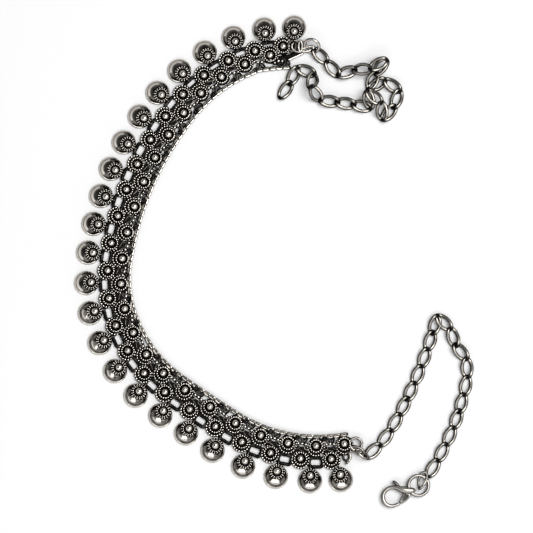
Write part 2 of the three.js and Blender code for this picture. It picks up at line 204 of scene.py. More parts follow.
# %% Many skins as one
def joined(skins):
    """Many skins as one: the faces of each are counted on from the points before it."""
    starts = np.cumsum([0] + [len(s.points) for s in skins[:-1]])
    return Skin(
        np.concatenate([s.points for s in skins]),
        np.concatenate([s.quads + n for s, n in zip(skins, starts)]),
        np.concatenate([s.tris + n for s, n in zip(skins, starts)]),
        np.concatenate([s.wear_and_painted_light for s in skins]),
    )


def repeated(skin, places, sizes=1.0):
    """One small skin at many places: each copy is scaled by its size, then moved to its place."""
    places = np.asarray(places, float).reshape(-1, 3)
    sizes = np.broadcast_to(np.asarray(sizes, float), (len(places),))
    points = skin.points[None] * sizes[:, None, None] + places[:, None]
    count = np.arange(len(places))[:, None, None] * len(skin.points)
    wear_and_painted_light = np.tile(skin.wear_and_painted_light, len(places))
    return Skin(points, skin.quads[None] + count, skin.tris[None] + count, wear_and_painted_light)


def grid_quads(rows, columns, wrap_rows=False):
    """The faces between neighbouring rows of a grid of points whose columns go round."""
    i = np.arange(rows if wrap_rows else rows - 1)[:, None]
    j = np.arange(columns)[None]
    k, m = (j + 1) % columns, (i + 1) % rows
    corners = (i * columns + j, i * columns + k, m * columns + k, m * columns + j)
    return np.stack(np.broadcast_arrays(*corners), -1)


def capped(rings, tips, wear_and_painted_light):
    """Rings of points as one closed skin: faces from ring to ring, and at each end a fan of
    three-sided faces from the ring to a tip."""
    rows, columns = rings.shape[:2]
    count = rows * columns
    j = np.arange(columns)
    k = (j + 1) % columns
    near = np.stack([np.full(columns, count), k, j], -1)
    far = np.stack([np.full(columns, count + 1), count - columns + j, count - columns + k], -1)
    points = np.vstack([rings.reshape(-1, 3), tips])
    return Skin(points, grid_quads(rows, columns), np.vstack([near, far]), wear_and_painted_light)


print("a grid of 3 rows and 4 columns has", len(grid_quads(3, 4).reshape(-1, 4)), "faces")

# %% [markdown]
# Cast and stamped shapes are round about an axis, so they are turned: a profile of radius and
# height is carried once round, as on a lathe. The Screw modifier does the same, but with arrays the
# wear is worked out along with the shape. The profile starts and ends on the axis, where one point
# closes it, and its corners are cut once or twice, which rounds them as polishing does.

# %% A turned skin
def turned_profile(rows, columns):
    """A profile of (radius, height, worn) rows turned about Z.

    The first and last rows are on the axis and become one point each. Every other row becomes a
    ring of points at its radius times the cosine and sine of an even run of angles."""
    rows = np.asarray(rows, float)
    ring = rows[1:-1]
    turn = np.arange(columns) * 2 * np.pi / columns
    x, y = ring[:, :1] * np.cos(turn), ring[:, :1] * np.sin(turn)
    rings = np.stack([x, y, np.repeat(ring[:, 1:2], columns, 1)], -1)
    wear_and_painted_light = np.concatenate([np.repeat(ring[:, 2], columns), [rows[0, 2], rows[-1, 2]]])
    return capped(rings, [(0, 0, rows[0, 1]), (0, 0, rows[-1, 1])], wear_and_painted_light)


def rounded(rows, times=2):
    """A profile with its corners cut: each span gives points at its first and last quarter."""
    rows = np.asarray(rows, float)
    for _ in range(times):
        near = rows[:-1] * 0.75 + rows[1:] * 0.25
        far = rows[:-1] * 0.25 + rows[1:] * 0.75
        rows = np.vstack([rows[:1], np.stack([near, far], 1).reshape(-1, 3)[1:-1], rows[-1:]])
    return rows


print("two cuts turn 4 rows into", len(rounded([(0, 0, 0), (1, 0, 0), (1, 1, 0), (0, 1, 0)])))

# %% [markdown]
# Wire is a circle carried along a path, as Blender's own bevelled curves are. Arrays are used again because
# the upper side is to be bright, as wear and as a painted highlight, and the flanks dark as painted shade.
# The section keeps one side level, which is simpler than a rolling frame and never twists on a nearly flat
# path.

# %% A wire along a path
def wire(path, radius, sides=10, closed=True, flat=1.0):
    """A tube about a path of points, bright where it faces up, as wear and a painted highlight, and dark on
    its flanks, as painted shade.

    Each ring is the path's point plus the radius times cos t across the path and sin t above it.
    flat squeezes the second. A closed path joins its last ring to its first, and an open one is
    closed at both ends by a point."""
    path = np.asarray(path, float)
    if closed:
        along = np.roll(path, -1, 0) - np.roll(path, 1, 0)
    else:
        along = np.gradient(path, axis=0)
    along /= np.linalg.norm(along, axis=1, keepdims=True)
    across = np.cross((0.0, 0.0, 1.0), along)
    across /= np.linalg.norm(across, axis=1, keepdims=True)
    rise = np.cross(along, across)
    t = (np.arange(sides) + 0.5) * 2 * np.pi / sides
    spoke = across[:, None] * np.cos(t)[None, :, None] + rise[:, None] * np.sin(t)[None, :, None] * flat
    rings = path[:, None] + radius * spoke
    # bright where the skin faces up and dark on the flanks: wear with a painted highlight, and painted
    # shade
    wear_and_painted_light = ease(spoke[..., 2], -0.15, 0.95).reshape(-1)
    if closed:
        return Skin(rings, grid_quads(len(path), sides, wrap_rows=True), np.zeros((0, 3)), wear_and_painted_light)
    return capped(rings, [path[0], path[-1]], np.append(wear_and_painted_light, [0.4, 0.4]))


def oval_path(half_length, half_width, steps, roll=0.0, roll_shift=0.0):
    """An oval along X: a cos t along it and b sin t across it, the across part rolled about X by an
    angle that follows cos t, which is how a curb link is twisted."""
    t = np.arange(steps) * 2 * np.pi / steps
    angle = np.radians(roll * np.cos(t) + roll_shift)
    across = half_width * np.sin(t)
    return np.stack([half_length * np.cos(t), across * np.cos(angle), across * np.sin(angle)], -1)


def straight(start, stop, points, radius, tone, flat=1.0):
    """A wire between two points, with its wear and painted light scaled."""
    rod = wire(np.linspace(start, stop, points), radius, 10, closed=False, flat=flat)
    rod.wear_and_painted_light *= tone
    return rod


print("a small oval of wire has", len(wire(oval_path(2, 1, 16), 0.3).quads), "faces")

# %% [markdown]
# Granulation is an old ornament: tiny balls by the hundred, fused to a plate. They could be scattered by
# Geometry Nodes, but each has its place on a ring, so one grain of a few dozen faces is repeated as whole
# arrays. Its top is bright, as rubbed metal and as a painted highlight, and it stays black where it meets
# its neighbours, as oxide and as painted shade. The larger balls are polished, and a stored value of 2 and
# more says so to the finish.

# %% The grain and the ball
POLISHED = 2.0  # added to the wear of a polished surface


def ball(columns, rings, low, high):
    """A unit sphere of latitude rings, whose wear and painted light are eased from low to high on its
    height: dark low on its sides as painted shade, bright on top as rubbed metal and a painted highlight.
    """
    tilt = np.linspace(-np.pi / 2, np.pi / 2, rings + 2)
    rows = np.stack([np.cos(tilt), np.sin(tilt), ease(np.sin(tilt), low, high)], -1)
    return turned_profile(rows, columns)


# Grains are black low on their sides and bright on top: oxide and rubbing, plus painted shade between them
# and a painted highlight on top.
GRAIN = ball(8, 3, 0.33, 1.0)
# The ball darkens low on its sides as painted shade and brightens on top as polish and a painted highlight.
BALL = ball(24, 11, -0.1, 0.6)
BALL.wear_and_painted_light = POLISHED + 0.62 * BALL.wear_and_painted_light


def grain_ring(count, radius, height, size, y=0.0):
    """Grains at an even run of angles on a circle about a point of the Y axis."""
    t = np.radians(np.linspace(0, 360, count, endpoint=False))
    places = np.stack([radius * np.cos(t), y + radius * np.sin(t), np.full(count, height)], -1)
    return repeated(GRAIN, places, size)


print("one grain has", len(GRAIN.quads) + len(GRAIN.tris), "faces")

# %% [markdown]
# ## Pieces
#
# A piece is one Blender object whose mesh already lies where it belongs, so it can ride on its CAD
# body and stand for the CAD node. from_pydata could fill the mesh too, but foreach_set takes whole
# arrays and is far quicker here. The wear goes along as an attribute of the points.

# %% From skins to a piece
def make_piece(name, skins, node, material, body="necklace"):
    """Writes joined skins into a mesh, in metres: the points, the corners of all the faces in a row,
    and for each face where it starts in that row."""
    skin = joined(skins)
    mesh = bpy.data.meshes.new(name)
    corners = np.concatenate([skin.quads.reshape(-1), skin.tris.reshape(-1)])
    sizes = np.concatenate([np.full(len(skin.quads), 4), np.full(len(skin.tris), 3)])
    mesh.vertices.add(len(skin.points))
    mesh.vertices.foreach_set("co", (skin.points * MM).astype(np.float32).reshape(-1))
    mesh.loops.add(len(corners))
    mesh.loops.foreach_set("vertex_index", corners.astype(np.int32))
    mesh.polygons.add(len(sizes))
    mesh.polygons.foreach_set("loop_start", (np.cumsum(sizes) - sizes).astype(np.int32))
    mesh.update(calc_edges=True)
    mesh.polygons.foreach_set("use_smooth", np.ones(len(sizes), bool))
    wear_and_painted_light = mesh.attributes.new("wear_and_painted_light", "FLOAT", "POINT")
    wear_and_painted_light.data.foreach_set("value", skin.wear_and_painted_light.astype(np.float32))
    assert not mesh.validate(), name
    mesh.materials.append(material)
    piece = bpy.data.objects.new(name, mesh)
    bpy.context.scene.collection.objects.link(piece)
    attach(piece, body)
    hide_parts(node)
    return piece


# %% [markdown]
# ## The silver finish
#
# Antique silver is plated metal dipped in a bath that blackens it, then rubbed so that only the high points
# shine. So it is one metal with two states. A painted texture would need thousands of grains to be
# unwrapped. Instead the attribute of wear and painted light, broken up by fine noise, chooses between the
# oxide and the bright metal, so painted highlights and painted shade come out in the same two colours. Two
# small helpers keep the node trees readable.

# %% Nodes with their inputs
def feed(tree, node, inputs):
    """Sets each named input of a node to a value, or links it to another node's output."""
    for key, value in inputs.items():
        if isinstance(value, bpy.types.NodeSocket):
            tree.links.new(value, node.inputs[key])
        else:
            node.inputs[key].default_value = value


def added(tree, kind, inputs=None, **settings):
    """A new node with its settings and its inputs. Its outputs are returned."""
    node = tree.nodes.new(kind)
    for name, value in settings.items():
        setattr(node, name, value)
    feed(tree, node, inputs or {})
    return node.outputs


def speckle(tree, scale, detail):
    """Noise from 0 to 1 in object coordinates, with scale grains to the metre."""
    place = added(tree, "ShaderNodeTexCoord")["Object"]
    return added(tree, "ShaderNodeTexNoise", {"Vector": place, "Scale": scale, "Detail": detail})["Fac"]


# %% [markdown]
# The cloth doesn't rub evenly, so noise is added to the wear and painted light before it is eased from
# black to bright. Polished surfaces were buffed before the bath. They carry the same value plus 2, so that
# 2 is taken off for the colour, and a comparison tells the finish that they are smooth however dark.

# %% How bright the metal is, from wear and painted light
def shine_and_polish(tree, low, high):
    """Two outputs: how bright the metal is, from wear and painted light, and whether it is polished.

    The first is the stored wear and painted light, modulo 2, plus 0.4 times the noise less 0.2, eased from
    low to high. The second is 1 where the stored value is over 1.6."""
    wear_and_painted_light = added(tree, "ShaderNodeAttribute", attribute_name="wear_and_painted_light")["Fac"]
    tone = added(tree, "ShaderNodeMath", {0: wear_and_painted_light, 1: POLISHED}, operation="MODULO")["Value"]
    noise = {0: speckle(tree, 650.0, 4.0), 1: 0.4, 2: -0.2}
    stain = added(tree, "ShaderNodeMath", noise, operation="MULTIPLY_ADD")["Value"]
    total = added(tree, "ShaderNodeMath", {0: tone, 1: stain})["Value"]
    span = {"Value": total, "From Min": low, "From Max": high}
    rubbed = added(tree, "ShaderNodeMapRange", span, interpolation_type="SMOOTHSTEP")["Result"]
    polished = added(tree, "ShaderNodeMath", {0: wear_and_painted_light, 1: 1.6}, operation="GREATER_THAN")["Value"]
    return rubbed, polished


def silver(name, bright, oxide, smooth, rough, low=0.15, high=0.85):
    """Metal whose colour and roughness go from oxide to bright with the wear and painted light, and whose
    skin has a bump of a few thousandths of a millimetre, as a casting has."""
    material = bpy.data.materials.new(name)
    material.use_nodes = True
    tree = material.node_tree
    rubbed, polished = shine_and_polish(tree, low, high)
    shades = {"Factor": rubbed, "A": (*oxide, 1), "B": (*bright, 1)}
    dulled = {"Value": rubbed, "From Max": 0.5, "To Min": rough, "To Max": smooth}
    dull = added(tree, "ShaderNodeMapRange", dulled)["Result"]
    pits = {"Height": speckle(tree, 2500.0, 2.0), "Strength": 0.3, "Distance": 0.006 * MM}
    feed(tree, tree.nodes["Principled BSDF"], {
        "Base Color": added(tree, "ShaderNodeMix", shades, data_type="RGBA")["Result"],
        "Metallic": 1.0,
        "Roughness": added(tree, "ShaderNodeMix", {"Factor": polished, "A": dull, "B": 0.14})["Result"],
        "Specular Tint": (0.12, 0.12, 0.12, 1),
        "Normal": added(tree, "ShaderNodeBump", pits)["Normal"],
    })
    return material


# %% [markdown]
# The flowers and drops are plated brightest. The chains and the clasp are duller findings
# that were never polished, so their bright metal is darker and rougher, and it takes more wear to
# reach it. Three settings of one finish look more alike than three finishes would.

# %% Three silvers
antique = silver("antique silver", (0.62, 0.58, 0.53), (0.006, 0.0056, 0.005), 0.2, 0.6)
chain_metal = silver(
    "chain silver", (0.3, 0.28, 0.25), (0.012, 0.011, 0.01), 0.32, 0.5, low=0.4, high=1.15
)
clasp_metal = silver(
    "clasp silver", (0.25, 0.237, 0.218), (0.02, 0.018, 0.016), 0.32, 0.45, high=0.95
)
print("finishes:", [m.name for m in (antique, chain_metal, clasp_metal)])

# %% [markdown]
# ## Domed drops
#
# A drop is a stamped dome with a rolled rim, polished like a mirror. Off its middle, toward the
# band, sits a boss: a blackened cup with two rings of grains and a ball. Raised from one plate
# the dome and boss would need a displaced grid. Turned as two profiles they stay smooth, and
# only the boss is moved aside. Its rings step toward the band as they rise.

# %% The two profiles of a drop
# In this profile's wear, the rim's pale top is partly rubbed metal and partly a painted reflection of the
# table, and its darker outer edge is painted shade.
RIM_AND_DOME = rounded([  # radius, height, wear
    (0.0, 0.0, 0.0), (3.95, 0.0, 0.0), (4.19, 0.02, 0.05), (4.2, 0.3, 0.3), (4.19, 0.55, 0.75),
    (4.02, 0.74, 0.9), (3.8, 0.86, 0.75), (3.66, 0.98, 0.15), (3.5, 1.3, 0.2), (3.0, 1.7, 0.38),
    (2.4, 2.16, 0.33), (1.6, 2.58, 0.33), (0.8, 2.82, 0.33), (0.0, 2.88, 0.33),
])
BOSS = rounded([
    (0.0, 1.4, 0.0), (2.4, 1.4, 0.0), (2.75, 1.7, 0.0), (2.8, 2.5, 0.0), (2.6, 2.75, 0.0),
    (2.25, 2.95, 0.0), (1.9, 3.15, 0.0), (1.7, 3.15, 0.0), (1.6, 3.0, 0.0), (1.2, 2.95, 0.0),
    (0.0, 2.95, 0.0),
], 1)
BOSS_SHIFT = 1.85  # of the boss toward the band
print("a drop is", 2 * RIM_AND_DOME[:, 0].max().round(2), "mm across")

# %% [markdown]
# The dome's shoulder on the side away from the band carries a painted highlight, and the dome is darkened
# beside the boss as painted shade. Both are painted into the wear by plain functions of a point's radius
# and direction, which is quicker than a brush and the same on every drop. The painted highlight lies at
# different radii on the drops of the far side and those of the near side, so there are two kinds.

# %% One drop in its own frame, +Y toward the band
def dome(spread, rubbed, start, stop):
    """The turned dome with its wear and painted light.

    The profile's wear is lowered near the boss, as painted shade in the crease. The shoulder away from the
    band gets a painted highlight from one radius to another, where the outward cosine is over spread, and
    the outer rim gets a little painted light on the same side."""
    skin = turned_profile(RIM_AND_DOME, 64)
    x, y = skin.points[:, 0], skin.points[:, 1]
    r = np.hypot(x, y)
    outward = -y / np.maximum(r, 0.1)
    # painted shade: darker in the crease beside the boss
    skin.wear_and_painted_light *= 0.3 + 0.7 * ease(np.hypot(x, y - BOSS_SHIFT), 2.6, 3.1)
    shoulder = ease(r, start - 0.2, start) * ease(-r, -stop - 0.1, -stop)
    # painted highlight on the shoulder away from the band
    skin.wear_and_painted_light += rubbed * ease(outward, spread, spread + 0.12) * shoulder
    # painted light on the rim's outward side
    skin.wear_and_painted_light += 0.25 * ease(outward, -0.2, 0.5) * ease(r, 3.35, 3.55)
    skin.wear_and_painted_light = POLISHED + np.clip(skin.wear_and_painted_light, 0, 1.2)
    return skin


def domed_drop(**rub):
    """The dome, the cup, two rings of grains, the ball, and the ring that hangs it."""
    bail = wire(oval_path(0.78, 0.78, 18), 0.17, 8).turned(90, "y")
    return joined([
        dome(**rub),
        turned_profile(BOSS, 28).moved(y=BOSS_SHIFT),
        grain_ring(17, 2.45, 2.9, 0.27, y=1.8),
        grain_ring(17, 1.97, 3.2, 0.27, y=1.82),
        repeated(BALL, [(0, 2.0, 3.4)], 1.25),
        bail.moved(0, 4.62, 0.97),
    ])


# %% Hang the drops
DROPS = 24
FAR_DROPS = 13  # counted from the upper end
# Far and near drops differ in where the painted highlight lies: from 2.7 to 3.3 mm out on the far drops,
# and from 1 to 2.6 mm on the near drops.
FAR_DROP = domed_drop(spread=0.4, rubbed=0.5, start=2.7, stop=3.3)
NEAR_DROP = domed_drop(spread=0.7, rubbed=0.6, start=1.0, stop=2.6)

for i in range(DROPS):
    u = i - 0.5
    x, y, heading = beside(u, -drop_offset(u), -drop_lag(u))
    drop = (FAR_DROP if i < FAR_DROPS else NEAR_DROP).placed(x, y, heading)
    node = f"drop_{i + 1:02d}"
    make_piece(f"domed_{node}", [drop], node, antique)
low, high = (np.array(c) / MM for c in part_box("drop_24"))
off = (low + high)[:2] / 2 - (float(x), float(y))
print("last drop is off its CAD node by", np.round(off, 2), "mm")

# %% [markdown]
# ## Flowers
#
# Each flower is a dark plate with a low ring of grains, a cup with a second ring, and a ball held
# in the cup's black hollow. It could be one turned profile, but then the grains would be ridges.
# Plate and cup are turned, and the grains stand on them. The low ring stays open toward the
# neck, and in the outer row its grains are coarser on the side of the drops.

# %% A flower in its own frame, +Y toward the neck
PLATE_SHIFT = -0.45
PLATE = rounded([  # radius, height, wear
    (0.0, 0.0, 0.0), (3.1, 0.0, 0.0), (3.3, 0.25, 0.1), (3.2, 0.55, 0.05), (2.4, 0.6, 0.0),
    (0.0, 0.6, 0.0),
], 1)
CUP = rounded([
    (0.0, 0.3, 0.0), (2.45, 0.3, 0.0), (2.4, 1.2, 0.0), (2.3, 1.75, 0.1), (2.05, 1.95, 0.2),
    (1.85, 1.85, 0.1), (1.65, 1.3, 0.0), (1.2, 1.2, 0.0), (0.0, 1.2, 0.0),
], 1)


def flower(ball_radius, coarse, low_from, low_to, low_count):
    """A flower. Its low grains stand on a circle of radius 2.9 from one angle to another, and their
    size is eased from 0.36 to coarse with minus the sine, on the side of the drops."""
    turns = np.radians(np.linspace(low_from, low_to, low_count))
    x, y = 2.9 * np.cos(turns), PLATE_SHIFT + 2.9 * np.sin(turns)
    sizes = 0.36 + (coarse - 0.36) * ease(-np.sin(turns), -0.3, 0.6)
    return joined([
        turned_profile(PLATE, 32).moved(y=PLATE_SHIFT),
        turned_profile(CUP, 28),
        repeated(GRAIN, np.stack([x, y, np.full(low_count, 0.85)], -1), sizes),
        grain_ring(16, 2.1, 1.95, 0.36),
        repeated(BALL, [(0, 0, 2.25)], ball_radius),
    ])


OUTER_FLOWER = flower(1.16, 0.5, -235, 55, 16)
INNER_FLOWER = flower(1.2, 0.38, -215, 35, 15)
above_plate = INNER_FLOWER.points[:, 2] > 0.7  # rubbed against the neck
INNER_FLOWER.wear_and_painted_light += ease(INNER_FLOWER.points[:, 1], 1.6, 2.3) * 0.8 * above_plate
print("a flower has", len(OUTER_FLOWER.points), "points")

# %% [markdown]
# ## The metal between the flowers
#
# Between two flowers of the outer row runs an oval wire link, which leaves a small window. Under
# the inner flowers lies a dark strip of cast metal, from the link wires on one side to the bead
# row on the other. A cut-out plate would need a drawn outline. A swept section takes both edges
# from the distances above.

# %% Oval links and the dark strip
def oval_link(i):
    """The wire from outer flower i to the next: an ellipse stretched across and cut off flat, which
    leaves two straights and two round ends."""
    u = i + 0.5
    outer, inner = float(4.93 - drop_offset(u)), 0.5  # the first is just inside its drop
    x, y, heading = beside(u, (outer + inner) / 2)
    path = oval_path(2.3, 1.0, 40)
    path[:, 1] = np.clip(path[:, 1] * 1.6, -1, 1) * (inner - outer) / 2
    loop = wire(path, 0.66, 10, flat=0.7)
    loop.wear_and_painted_light *= 0.22
    return loop.placed(x, y, heading, 0.75)


def web(first, stop):
    """The dark strip from just before flower first to just before flower stop.

    The section is a flat bar: the cosine to the power 0.3 between its two edges, and the sine to the
    power 0.5 for its height."""
    u = np.linspace(first - 0.25, stop - 0.35, 18)
    low, high = 0.55, np.maximum(inner_offset(u) + bead_row(u) - 0.95, 1.2)
    turn = np.linspace(0, 2 * np.pi, 16, endpoint=False) + np.pi / 16
    across, rise = np.cos(turn), np.sin(turn)
    span = np.sign(across) * np.abs(across) ** 0.3
    inward = (low + high)[:, None] / 2 + (high - low)[:, None] / 2 * span[None]
    x, y, _ = beside(np.repeat(u[:, None], len(turn), 1), inward)
    z = np.broadcast_to(0.45 + 0.42 * np.sign(rise) * np.abs(rise) ** 0.5, x.shape)
    rings = np.stack([x, y, z], -1)
    return capped(rings, [rings[0].mean(0), rings[-1].mean(0)], 0.0).inside_out()


def dark_bar(start, stop):
    """A low bar of dark metal between two points: a squeezed circle carried straight."""
    width, height = 2.6, 1.1
    level = height / 2
    return straight((*start, level), (*stop, level), 7, width / 2, 0.12, flat=height / width)


print("the first oval link has", len(oval_link(0).quads), "faces")

# %% [markdown]
# The inner flowers are joined by a dark lug with a row of bright beads, and tied to the fine chain
# by small rings. On a real band these are bent and soldered wires, so they are wires here. Boxes
# with bevels would be lighter, but they'd catch the light on flat faces. Toward the lower end the
# lugs slant less and the ties change sides.

# %% Lugs and ties
LESS_SLANT_FROM = 14  # the first flower whose lug slants less and whose tie changes sides
BEAD_STEP = 1.3
TIE_RINGS = [  # along, back from the fine chain, half length, bearing, wear
    (3.0, 0.7, 0.8, 0, 0.2),
    (4.4, 1.4, 1.2, 60, 0.3),
    (5.6, 1.35, 1.2, 115, 0.2),
]


def lug(i):
    """The lug between inner flowers i and i + 1: a dark bar, three beads that are stretched by half
    of their own width, and two dark loops and a slanting wire behind a narrow slit."""
    x, y, heading = beside(i + 1.0, float(inner_offset(i + 1.0) + bead_row(i + 1.0)))
    skew = 0.45 if i < LESS_SLANT_FROM else 0.1
    slant = skew * 0.9
    places = [(-BEAD_STEP, slant, 1.2), (0.0, 0.1, 1.3), (BEAD_STEP, -slant, 1.2)]
    beads = repeated(GRAIN, places, (0.4, 0.42, 0.4))
    along = beads.points[:, 0]
    beads.points[:, 0] += (along - np.round(along / BEAD_STEP) * BEAD_STEP) * 0.5
    bar = wire(np.linspace((-2.5, skew, 0.75), (2.5, -skew, 0.75), 9), 0.42, 8, closed=False)
    bar.wear_and_painted_light *= 0.1
    parts = [bar, beads]
    for side in (-1, 1):
        parts.append(wire(oval_path(0.85, 0.7, 14), 0.24, 8).moved(side * 1.75, -1.2, 1.0))
    parts.append(wire(np.linspace((-1.2, -1.9, 1.0), (1.0, -2.7, 1.0), 5), 0.28, 8, closed=False))
    for dark in parts[2:]:
        dark.wear_and_painted_light *= 0.3
    return joined(parts).placed(x, y, heading)


def neck_tie(i):
    """Three small rings that tie inner flower i to the fine chain. The first lies along the chain
    and the others lean across to the bead row."""
    u = i + 0.5
    side = -1 if i < LESS_SLANT_FROM else 1
    rings = []
    for along, back, half_length, bearing, tone in TIE_RINGS:
        x, y, heading = beside(u, float(border_offset(u)) - back, side * along)
        ring = wire(oval_path(half_length, 0.55, 16), 0.36, 8)
        ring.wear_and_painted_light *= tone
        rings.append(ring.turned(20, "x").turned(side * -bearing).placed(x, y, heading, 1.05))
    return joined(rings)


print("a lug has", len(lug(0).points), "points, and a tie", len(neck_tie(0).points))

# %% [markdown]
# ## The ends of the band
#
# At each end the band is gathered into a few loops of heavier wire that take the chain. The upper
# end also has a dark plate under two wires and a few beads, and the lower end an open bent wire.
# Curve objects could be drawn for them. Nothing repeats here, so each loop is a row of a short
# table instead, in millimetres of the layout.

# %% Loops at both ends
UPPER_LOOPS = [  # x, y, z, half length, half width, wire radius, bearing, lean, wear
    (8.7, 74.9, 1.5, 2.5, 1.9, 0.45, 0, 0, 0.4),
    (13.2, 75.0, 2.3, 2.6, 2.6, 0.52, -20, 40, 0.55),
    (6.3, 75.1, 1.8, 1.3, 1.9, 0.4, 0, 15, 0.3),
    (9.2, 74.9, 1.8, 0.6, 1.9, 0.4, 0, 10, 0.5),
    (11.6, 74.0, 1.5, 2.3, 0.7, 0.45, 15, 0, 0.5),
]
LOWER_LOOPS = [
    (28.3, -63.8, 1.6, 2.1, 2.1, 0.48, 0, 0, 0.42),
    (29.0, -66.0, 1.5, 2.3, 1.1, 0.45, -25, 20, 0.4),
    (25.0, -68.2, 0.8, 1.0, 1.4, 0.42, 0, 0, 0.25),
]
BENT_WIRE = [  # x, y, z
    (25.2, -66.2, 1.0), (26.3, -67.2, 1.0), (26.5, -68.6, 1.0), (25.9, -69.8, 1.0), (24.8, -70.6, 1.0),
]


def in_layout(skin, x=0.0, y=0.0, z=0.0):
    """Moved to a place of the layout, whose middle is the frame's origin."""
    return skin.moved(x - CENTRE[0], y - CENTRE[1], z)


def end_loop(x, y, z, half_length, half_width, radius, bearing, lean, tone):
    """An oval of wire, leant about its length and then turned to its bearing."""
    oval = wire(oval_path(half_length, half_width, 40), radius, 12)
    oval.wear_and_painted_light *= tone
    return in_layout(oval.turned(lean, "x").turned(bearing), x, y, z)


def lower_end():
    """The loops of the lower end and one open bent wire."""
    bent = wire(BENT_WIRE, 0.42, 10, closed=False)
    bent.wear_and_painted_light *= 0.5
    return [end_loop(*row) for row in LOWER_LOOPS] + [in_layout(bent)]


# %% The plate at the upper end
PLATE_BARS = [  # start, stop, radius
    ((3.6, 75.4), (9.9, 75.4), 0.95),
    ((3.6, 73.9), (9.9, 73.9), 0.95),
    ((4.0, 71.0), (9.6, 73.2), 0.95),
    ((4.4, 71.4), (0.8, 70.4), 1.0),
    ((3.6, 69.8), (-0.4, 69.1), 0.7),
]
PLATE_WIRES = [  # start, stop, points, radius
    ((4.5, 70.0, 0.9), (10.2, 72.6, 0.9), 15, 0.38),
    ((4.6, 77.0, 1.5), (9.6, 77.2, 1.5), 11, 0.3),
]
LOOSE_BEADS = [(1.6, 69.9, 1.2), (-1.2, 70.1, 1.0), (0.3, 69.3, 1.0), (2.9, 69.9, 1.0)]


def upper_end():
    """The loops of the upper end, and the plate as flat bars side by side under two wires."""
    bars = [straight((*a, 0.55), (*b, 0.55), 9, r, 0.0, flat=0.5 / r) for a, b, r in PLATE_BARS]
    wires = [straight(a, b, points, r, 0.7) for a, b, points, r in PLATE_WIRES]
    beads = repeated(BALL, LOOSE_BEADS, (0.6, 0.8, 0.4, 0.45))
    return [end_loop(*row) for row in UPPER_LOOPS] + [in_layout(joined([*bars, *wires, beads]))]


print("the upper end has", len(UPPER_LOOPS), "loops and the lower end", len(LOWER_LOOPS))

# %% [markdown]
# ## The castings
#
# Two pairs of flowers make one casting with all that holds them, and the band is a row of twelve
# castings, the last with a single pair. One object for the whole band would also look right. One
# for each casting keeps the parts that a repairer would take off one by one.

# %% The band, casting by casting
CASTINGS = 12
PAIRS_PER_CASTING = 2


def casting(number):
    """Up to two pairs of flowers and the metal that holds them, numbered from the upper end."""
    first = (number - 1) * PAIRS_PER_CASTING
    stop = min(first + PAIRS_PER_CASTING, FLOWERS)
    skins = []
    for i in range(first, stop):
        outer = beside(i, 0.0)
        inner = beside(i + 0.5, float(inner_offset(i + 0.5)))
        skins += [OUTER_FLOWER.placed(*outer), INNER_FLOWER.placed(*inner)]
        skins.append(dark_bar(outer[:2], inner[:2]))
        if i + 1 < FLOWERS:
            skins += [neck_tie(i), oval_link(i), lug(i)]
    skins.append(web(first, stop))
    return skins


for number in range(1, CASTINGS + 1):
    skins = casting(number)
    if number == 1:
        skins += upper_end()
    if number == CASTINGS:
        skins += lower_end()
    name = f"{number:02d}"
    band_piece = make_piece(f"flowers_{name}", skins, f"band_{name}", antique)
print("last casting has", len(band_piece.data.polygons), "faces")

# %% [markdown]
# ## The fine chain
#
# Along the neck edge runs a cable chain finer than a grain of rice. Each link is the same small
# oval, and every second one is rolled the other way. An array along a curve would bend the links,
# so each is placed whole. The places are spaced evenly by measuring the route's length and reading
# points back from it.

# %% Links spaced evenly along the border
BORDER_LINKS = 88


def even_places(path, count):
    """count points and headings at equal lengths along a path of points. The heading is taken from
    the points 0.3 mm ahead and behind."""
    steps = np.linalg.norm(np.diff(path, axis=0), axis=1)
    length = np.concatenate([[0], np.cumsum(steps)])
    s = (np.arange(count) + 0.5) * length[-1] / count
    x, y = (np.interp(s, length, path[:, k]) for k in (0, 1))
    ahead = [np.interp(s + 0.3, length, path[:, k]) for k in (0, 1)]
    behind = [np.interp(s - 0.3, length, path[:, k]) for k in (0, 1)]
    return x, y, np.arctan2(ahead[1] - behind[1], ahead[0] - behind[0]), length[-1]


def fine_link(roll):
    """An oval of wire, bright on top along its middle, as wear and a painted highlight, and a little
    brighter still on the neck side, as a painted reflection of the table.
    """
    link = wire(oval_path(1.4, 0.42, 16, 40, roll), 0.41, 10)
    # The neck side is made brighter as a painted reflection of the table, and the top as a painted
    # highlight along with wear. The dark ends are the joints.
    neck_side = ease(link.points[:, 1], 0.0, 0.3)
    middle = ease(-abs(link.points[:, 0]), -1.5, -0.8)
    top = ease(link.points[:, 2], -0.3, 0.15) * middle
    link.wear_and_painted_light = 0.02 + top * (0.4 + 0.2 * neck_side)
    return link


u = -0.2 + np.linspace(0, 1, 400) * (FLOWERS - 0.15)
x, y, _ = beside(u, border_offset(u))
x, y, heading, border_length = even_places(np.stack([x, y], -1), BORDER_LINKS)
fine = [fine_link(14), fine_link(-14)]
skins = [fine[i % 2].placed(x[i], y[i], heading[i], 0.9) for i in range(BORDER_LINKS)]
make_piece("fine_chain", skins, "border_chain", antique)
print(f"fine chain: {BORDER_LINKS} links in {border_length:.0f} mm")

# %% [markdown]
# ## The curb chains
#
# A curb link is an oval of wire that has been twisted, so that it lies flat on the next one. A
# simulation could let the chain fall, but not into a chosen line. It is walked from joint to joint
# by bearings instead, as one would lay it out by hand, and the links that climb over others in the
# heap also get a slope.

